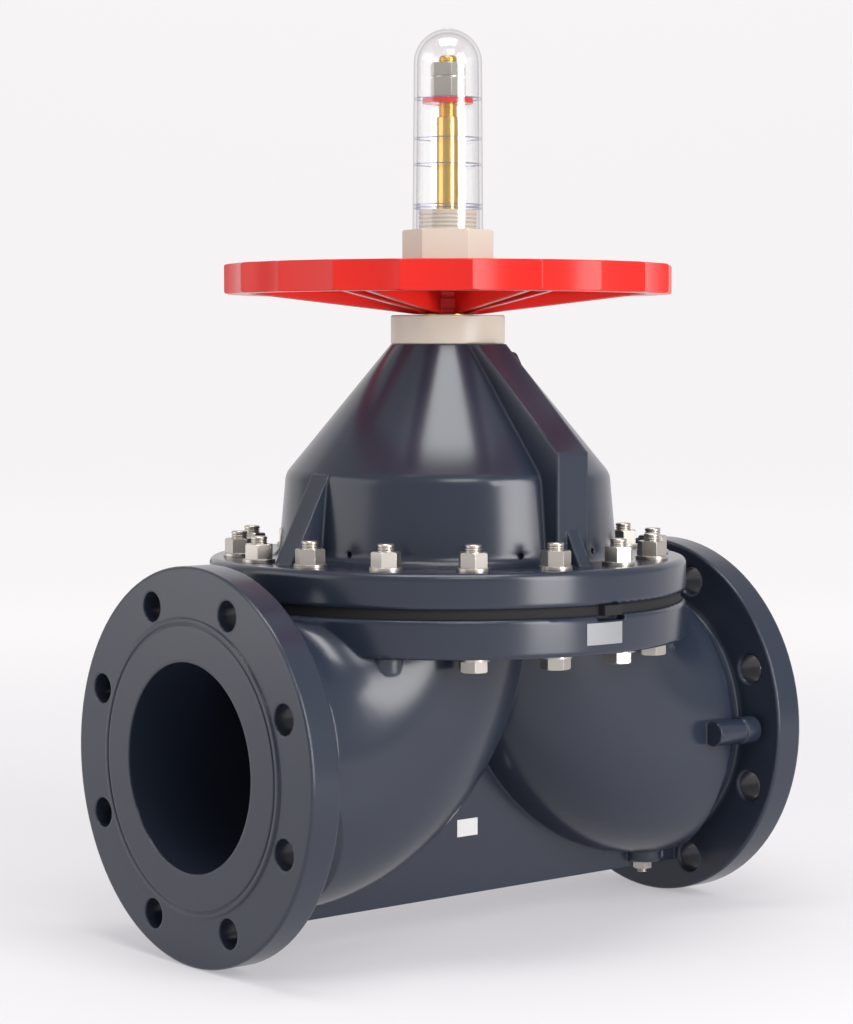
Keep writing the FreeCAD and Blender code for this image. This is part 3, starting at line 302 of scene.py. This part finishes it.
def cover_line_heights():
    """Heights of the grooves round the cover, read from its own mesh: only at the two edges of a
    groove do vertices stand both on the wall and a little inside it."""
    mesh = NODES["gauge_cover"].data
    low, high = GROOVE_DEPTHS
    rings = {}
    for vertex in mesh.vertices:
        rings.setdefault(round(vertex.co.z, 5), []).append(math.hypot(vertex.co.x, vertex.co.y))
    edges = sorted(z for z, radii in rings.items()
                   if any(low < max(radii) - r < high for r in radii))
    lines = [(a + b) / 2.0 for a, b in zip(edges, edges[1:]) if b - a < GROOVE_WIDTH]
    if not lines:
        raise RuntimeError("the cover has no grooves")
    return lines


def get_group(name, builder):
    return bpy.data.node_groups.get(name) or builder()


def finish(name, tone, rough, metallic=0.0, edge=0.001, wave=0.2, wave_size=30.0, grain=0.1,
           grain_size=1200.0, spread=0.10, bump=0.00006, painted_edge_highlight=0.0, gleam=0.5):
    """Material with a moulded or machined skin, soft edges, slightly uneven gloss and a painted
    highlight that lightens the colour along edges.
    """
    material = bpy.data.materials.new(name)
    material.use_nodes = True
    tree = material.node_tree
    shader = tree.nodes["Principled BSDF"]
    shader.location = (500, 0)
    shader.inputs["Metallic"].default_value = metallic
    shader.inputs["Specular IOR Level"].default_value = gleam
    skin = node(tree, "ShaderNodeGroup", (-500, 0), node_tree=get_group("skin", skin_group))
    skin.inputs["Wave"].default_value = wave
    skin.inputs["Wave Size"].default_value = wave_size
    skin.inputs["Grain"].default_value = grain
    skin.inputs["Grain Size"].default_value = grain_size
    skin.inputs["Spread"].default_value = spread
    soft = node(tree, "ShaderNodeGroup", (-500, -350), node_tree=get_group("soft_edge", edge_group))
    soft.inputs["Radius"].default_value = edge
    relief = node(tree, "ShaderNodeBump", (0, -300))
    relief.inputs["Distance"].default_value = bump
    relief.inputs["Strength"].default_value = 1.0
    tree.links.new(skin.outputs["Height"], relief.inputs["Height"])
    tree.links.new(soft.outputs["Normal"], relief.inputs["Normal"])
    tree.links.new(relief.outputs["Normal"], shader.inputs["Normal"])
    total = node(tree, "ShaderNodeMath", (0, -100), operation="ADD", use_clamp=True)
    total.inputs[1].default_value = rough
    tree.links.new(skin.outputs["Roughness Shift"], total.inputs[0])
    tree.links.new(total.outputs[0], shader.inputs["Roughness"])
    blend = node(tree, "ShaderNodeMix", (0, 200), data_type="RGBA")
    blend.inputs["A"].default_value = (*[c * (1.0 - TONE_SPREAD) for c in tone], 1.0)
    blend.inputs["B"].default_value = (*[min(1.0, c * (1.0 + TONE_SPREAD)) for c in tone], 1.0)
    tree.links.new(skin.outputs["Shade"], blend.inputs["Factor"])
    # Painted highlight: the base colour is made lighter along edges, where the edge mask is high.
    painted_edge_colour = node(tree, "ShaderNodeMix", (250, 200), data_type="RGBA")
    painted_edge_colour.inputs["B"].default_value = (*[min(1.0, c * (1.0 + painted_edge_highlight)) for c in tone], 1.0)
    tree.links.new(soft.outputs["Edge"], painted_edge_colour.inputs["Factor"])
    tree.links.new(blend.outputs["Result"], painted_edge_colour.inputs["A"])
    tree.links.new(painted_edge_colour.outputs["Result"], shader.inputs["Base Color"])
    return material


def paint(material, *names):
    for name in names:
        if name not in NODES:
            raise RuntimeError("no CAD node named " + name)
        mesh = NODES[name].data
        mesh.materials.clear()
        mesh.materials.append(material)


def settings(context):
    return context.scene.valve


class PaintPlastic(bpy.types.Operator):
    """Grey pipe plastic on body and bonnet"""

    bl_idname = "valve.paint_plastic"
    bl_label = "Body and bonnet"

    def execute(self, context):
        s = settings(context).plastic
        material = finish("pipe_plastic", tuple(s.tone), s.rough, edge=s.edge, wave=s.ripple,
                          wave_size=26.0, grain=0.05, spread=0.12, bump=0.00022,
                          painted_edge_highlight=0.25)
        paint(material, "body", "bonnet")
        return {"FINISHED"}


class PaintWheel(bpy.types.Operator):
    """Red plastic on handwheel and indicator disc"""

    bl_idname = "valve.paint_wheel"
    bl_label = "Handwheel"

    def execute(self, context):
        s = settings(context).wheel
        material = finish("red_plastic", tuple(s.tone), s.rough, edge=s.edge, wave=0.3,
                          wave_size=45.0, grain=0.08, bump=0.00015, painted_edge_highlight=0.15, gleam=0.25)
        paint(material, "handwheel", "indicator_disc")
        return {"FINISHED"}


class PaintCream(bpy.types.Operator):
    """Cream plastic on bearing cap and wheel nut"""

    bl_idname = "valve.paint_cream"
    bl_label = "Cap and wheel nut"

    def execute(self, context):
        s = settings(context).cream
        material = finish("cream_plastic", tuple(s.tone), s.rough, edge=s.edge, wave=0.2,
                          grain=0.10, bump=0.00008, painted_edge_highlight=0.1)
        paint(material, "bearing_cap", "wheel_nut")
        return {"FINISHED"}


class PaintMetal(bpy.types.Operator):
    """Stainless fasteners, brass stem, sleeve and inserts"""

    bl_idname = "valve.paint_metal"
    bl_label = "Metal pieces"

    def execute(self, context):
        s = settings(context).metal
        steel = finish("stainless", tuple(s.steel), s.steel_rough, metallic=1.0, edge=s.edge,
                       wave=0.2, wave_size=300.0, grain=0.3, grain_size=2500.0, bump=0.00003,
                       painted_edge_highlight=0.3)
        brass = finish("brass", tuple(s.brass), s.brass_rough, metallic=1.0, edge=s.edge,
                       wave=0.2, wave_size=200.0, grain=0.3, grain_size=2500.0, bump=0.00003,
                       painted_edge_highlight=0.3)
        paint(steel, "diaphragm_insert", "compressor_pin", "wheel_key", "wheel_washer", "stop_nut",
              "spring_washer", "lock_nut", "bonnet_bolts", "bonnet_studs", "bonnet_nuts",
              "bonnet_washers", "bolt_washers", "base_studs", "base_nuts")
        paint(brass, "stem", "sleeve", "stud_inserts", "base_inserts", "vent_tip")
        return {"FINISHED"}


class BuildRubber(bpy.types.Operator):
    """Rubber diaphragm copied in place of its rigid node, O-ring and black plastic"""

    bl_idname = "valve.build_rubber"
    bl_label = "Diaphragm and dark pieces"

    def execute(self, context):
        s = settings(context).dark
        rubber = finish("rubber", tuple(s.rubber), s.rubber_rough, edge=0.0006, wave=0.2,
                        grain=0.6, grain_size=1500.0, bump=0.00008)
        black = finish("black_plastic", tuple(s.black), s.black_rough, edge=0.0008, wave=0.2,
                       grain=0.2, bump=0.00006)
        paint(rubber, "cap_o_ring", "diaphragm")
        paint(black, "compressor", "thrust_ring_lower", "thrust_ring_upper", "vent_elbow")
        mesh = NODES["diaphragm"].data.copy()
        skin = bpy.data.objects.new("diaphragm_rubber", mesh)
        context.scene.collection.objects.link(skin)
        skin.matrix_world = NODES["diaphragm"].matrix_world.copy()
        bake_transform(skin)
        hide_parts("diaphragm")
        return {"FINISHED"}


class PaintCover(bpy.types.Operator):
    """Clear plastic with tinted scale lines on the gauge cover"""

    bl_idname = "valve.paint_cover"
    bl_label = "Gauge cover"

    def execute(self, context):
        s = settings(context).cover
        material = finish("clear_cover", (1.0, 1.0, 1.0), s.rough, metallic=1.0, edge=0.0002,
                          wave=0.05, grain=0.0, spread=0.01, bump=0.00001)
        tree = material.node_tree
        shader = tree.nodes["Principled BSDF"]
        bands = node(tree, "ShaderNodeGroup", (-500, 350),
                     node_tree=get_group("level_bands", band_group))
        bands.inputs["Half Height"].default_value = s.line_half
        tinted = node(tree, "ShaderNodeMix", (250, 450), data_type="RGBA")
        tinted.inputs["A"].default_value = (1.0, 1.0, 1.0, 1.0)
        tinted.inputs["B"].default_value = (*s.line_tone, 1.0)
        tree.links.new(bands.outputs["Band"], tinted.inputs["Factor"])
        tree.links.new(tinted.outputs["Result"], shader.inputs["Base Color"])
        slant = node(tree, "ShaderNodeLayerWeight", (-500, 800))
        slant.inputs["Blend"].default_value = 0.5
        steep = node(tree, "ShaderNodeMath", (-300, 800), operation="POWER")
        steep.inputs[1].default_value = WALL_FALLOFF
        mirror = node(tree, "ShaderNodeMapRange", (-100, 800))
        mirror.inputs["To Min"].default_value = s.head_on
        mirror.inputs["To Max"].default_value = s.side_on
        hide = node(tree, "ShaderNodeMath", (-100, 600), operation="MULTIPLY")
        hide.inputs[1].default_value = s.line_cover
        amount = node(tree, "ShaderNodeMath", (250, 700), operation="MAXIMUM")
        open_air = node(tree, "ShaderNodeBsdfTransparent", (500, 300))
        # Painted shade: the see-through colour darkens towards the outline, standing in for light
        # bent in the clear wall.
        depth = node(tree, "ShaderNodeMix", (250, 1000), data_type="RGBA")
        depth.inputs["A"].default_value = (WALL_CLEAR, WALL_CLEAR, WALL_CLEAR, 1.0)
        depth.inputs["B"].default_value = (*s.outline_shade_tone, 1.0)
        tree.links.new(steep.outputs[0], depth.inputs["Factor"])
        tree.links.new(depth.outputs["Result"], open_air.inputs["Color"])
        mix = node(tree, "ShaderNodeMixShader", (800, 200))
        tree.links.new(slant.outputs["Facing"], steep.inputs[0])
        tree.links.new(steep.outputs[0], mirror.inputs["Value"])
        tree.links.new(bands.outputs["Band"], hide.inputs[0])
        tree.links.new(mirror.outputs["Result"], amount.inputs[0])
        tree.links.new(hide.outputs[0], amount.inputs[1])
        tree.links.new(amount.outputs[0], mix.inputs[0])
        tree.links.new(open_air.outputs[0], mix.inputs[1])
        tree.links.new(shader.outputs[0], mix.inputs[2])
        tree.links.new(mix.outputs[0], tree.nodes["Material Output"].inputs["Surface"])
        paint(material, "gauge_cover")
        return {"FINISHED"}


class PaintLabels(bpy.types.Operator):
    """Bare foil on the rim and bare sticker on the web"""

    bl_idname = "valve.paint_labels"
    bl_label = "Bare labels"

    def execute(self, context):
        s = settings(context).label
        foil = finish("foil", tuple(s.foil), s.foil_rough, metallic=0.4, edge=0.0001, wave=0.5,
                      wave_size=120.0, grain=0.2, bump=0.00008)
        paper = finish("sticker", tuple(s.paper), s.paper_rough, edge=0.0001, wave=0.3,
                       wave_size=80.0, grain=0.2, bump=0.00005)
        paint(foil, "rim_label")
        paint(paper, "web_sticker")
        return {"FINISHED"}


def add_lamp(name, power, place, size):
    data = bpy.data.lights.new(name, "AREA")
    data.shape = "RECTANGLE"
    data.size, data.size_y = size
    data.energy = power
    lamp = bpy.data.objects.new(name, data)
    bpy.context.scene.collection.objects.link(lamp)
    lamp.location = place
    lamp.rotation_euler = (Vector(LAMP_TARGET) - place).to_track_quat("-Z", "Y").to_euler()
    return lamp


def sweep_floor():
    """Floor that curves up into a backdrop, as a strip swept sideways."""
    foot = FLOOR_BACK - FLOOR_SWEEP
    profile = [(-FLOOR_HALF, 0.0), (foot, 0.0)]
    for i in range(1, FLOOR_STEPS + 1):
        angle = math.pi / 2.0 * i / FLOOR_STEPS
        profile.append((foot + FLOOR_SWEEP * math.sin(angle),
                        FLOOR_SWEEP * (1.0 - math.cos(angle))))
    profile.append((FLOOR_BACK, FLOOR_RISE))
    mesh = bpy.data.meshes.new("floor")
    made = bmesh.new()
    rows = [[made.verts.new((side, depth, height)) for side in (-FLOOR_HALF, FLOOR_HALF)]
            for depth, height in profile]
    for near, far in zip(rows, rows[1:]):
        face = made.faces.new((near[0], near[1], far[1], far[0]))
        face.smooth = True
    made.to_mesh(mesh)
    made.free()
    return bpy.data.objects.new("floor", mesh)


def floor_cloth(s):
    """Pale floor, a little brighter by itself the further it is from the valve."""
    cloth = bpy.data.materials.new("floor")
    cloth.use_nodes = True
    tree = cloth.node_tree
    shader = tree.nodes["Principled BSDF"]
    shader.inputs["Base Color"].default_value = (*s.floor, 1.0)
    shader.inputs["Roughness"].default_value = FLOOR_ROUGH
    shader.inputs["Specular IOR Level"].default_value = FLOOR_GLOSS
    shader.inputs["Emission Strength"].default_value = 1.0
    spot = node(tree, "ShaderNodeTexCoord", (-900, 0))
    away = node(tree, "ShaderNodeVectorMath", (-700, 0), operation="LENGTH")
    ramp = node(tree, "ShaderNodeMapRange", (-500, 0), interpolation_type="SMOOTHSTEP")
    ramp.inputs["From Min"].default_value = s.glow_start
    ramp.inputs["From Max"].default_value = s.glow_end
    glow = node(tree, "ShaderNodeMix", (-250, 0), data_type="RGBA")
    glow.inputs["A"].default_value = (*s.glow_near, 1.0)
    glow.inputs["B"].default_value = (*s.glow_far, 1.0)
    tree.links.new(spot.outputs["Object"], away.inputs[0])
    tree.links.new(away.outputs["Value"], ramp.inputs["Value"])
    tree.links.new(ramp.outputs["Result"], glow.inputs["Factor"])
    tree.links.new(glow.outputs["Result"], shader.inputs["Emission Color"])
    return cloth


def room_light(s):
    """Even light of the room, with its own colour where the camera sees it."""
    world = bpy.data.worlds.new("room")
    world.use_nodes = True
    tree = world.node_tree
    room = tree.nodes["Background"]
    room.inputs["Color"].default_value = (*ROOM_TINT, 1.0)
    room.inputs["Strength"].default_value = s.sky
    seen = node(tree, "ShaderNodeBackground", (0, -200))
    seen.inputs["Color"].default_value = (*s.backdrop, 1.0)
    seen.inputs["Strength"].default_value = 1.0
    path = node(tree, "ShaderNodeLightPath", (-400, 300))
    through = node(tree, "ShaderNodeMath", (-150, 200), operation="MAXIMUM")
    tree.links.new(path.outputs["Is Camera Ray"], through.inputs[0])
    tree.links.new(path.outputs["Is Transmission Ray"], through.inputs[1])
    mix = node(tree, "ShaderNodeMixShader", (250, 0))
    tree.links.new(through.outputs[0], mix.inputs[0])
    tree.links.new(room.outputs[0], mix.inputs[1])
    tree.links.new(seen.outputs[0], mix.inputs[2])
    tree.links.new(mix.outputs[0], tree.nodes["World Output"].inputs["Surface"])
    return world


class BuildStage(bpy.types.Operator):
    """Camera at the photograph's angle, lamps, floor and room light"""

    bl_idname = "valve.build_stage"
    bl_label = "Stage"

    def execute(self, context):
        s = settings(context).stage
        scene = context.scene
        look = Vector((math.sin(s.azimuth) * math.cos(s.elevation),
                       -math.cos(s.azimuth) * math.cos(s.elevation), math.sin(s.elevation)))
        aim = Vector(s.aim)
        data = bpy.data.cameras.new("camera")
        data.lens = s.lens
        data.sensor_width = SENSOR
        data.clip_end = FAR_CLIP
        camera = bpy.data.objects.new("camera", data)
        scene.collection.objects.link(camera)
        camera.location = aim + look * s.reach
        camera.rotation_euler = (-look).to_track_quat("-Z", "Y").to_euler()
        scene.camera = camera
        scene.view_settings.view_transform = "Standard"

        floor = sweep_floor()
        scene.collection.objects.link(floor)
        floor.rotation_euler = (0.0, 0.0, s.azimuth)
        floor.data.materials.append(floor_cloth(s))

        side = Vector((math.cos(s.azimuth), math.sin(s.azimuth), 0.0))
        front = Vector((math.sin(s.azimuth), -math.cos(s.azimuth), 0.0))
        up = Vector((0.0, 0.0, 1.0))
        lamps = [add_lamp(name, getattr(s, name), front * ahead + side * across + up * rise, size)
                 for name, ahead, across, rise, size in LAMPS]

        scene.world = room_light(s)
        return {"FINISHED"}


class ValveSettings(bpy.types.PropertyGroup):
    """All sizes and colours a user would change."""

    plastic: PointerProperty(type=PlasticSettings)
    wheel: PointerProperty(type=WheelSettings)
    cream: PointerProperty(type=CreamSettings)
    metal: PointerProperty(type=MetalSettings)
    dark: PointerProperty(type=DarkSettings)
    cover: PointerProperty(type=CoverSettings)
    label: PointerProperty(type=LabelSettings)
    stage: PointerProperty(type=StageSettings)


OPERATORS = (PaintPlastic, PaintWheel, PaintCream, PaintMetal, BuildRubber, PaintCover,
             PaintLabels, BuildStage)


class ValvePanel(bpy.types.Panel):
    """Lists the steps and their settings"""

    bl_idname = "VIEW3D_PT_valve"
    bl_label = "Diaphragm valve"
    bl_space_type = "VIEW_3D"
    bl_region_type = "UI"
    bl_category = "Valve"

    def draw(self, context):
        layout = self.layout
        for step in OPERATORS:
            layout.operator(step.bl_idname)
        for name in ValveSettings.__annotations__:
            box = layout.box()
            box.label(text=name.capitalize())
            part = getattr(context.scene.valve, name)
            for key in type(part).__annotations__:
                box.prop(part, key)


CLASSES = (PlasticSettings, WheelSettings, CreamSettings, MetalSettings, DarkSettings,
           CoverSettings, LabelSettings, StageSettings, ValveSettings, *OPERATORS, ValvePanel)


def register():
    for cls in CLASSES:
        bpy.utils.register_class(cls)
    bpy.types.Scene.valve = PointerProperty(type=ValveSettings)


def unregister():
    del bpy.types.Scene.valve
    for cls in reversed(CLASSES):
        bpy.utils.unregister_class(cls)


def main():
    register()
    bpy.ops.valve.paint_plastic()
    bpy.ops.valve.paint_wheel()
    bpy.ops.valve.paint_cream()
    bpy.ops.valve.paint_metal()
    bpy.ops.valve.build_rubber()
    bpy.ops.valve.paint_cover()
    bpy.ops.valve.paint_labels()
    bpy.ops.valve.build_stage()


if __name__ == "__main__":
    main()
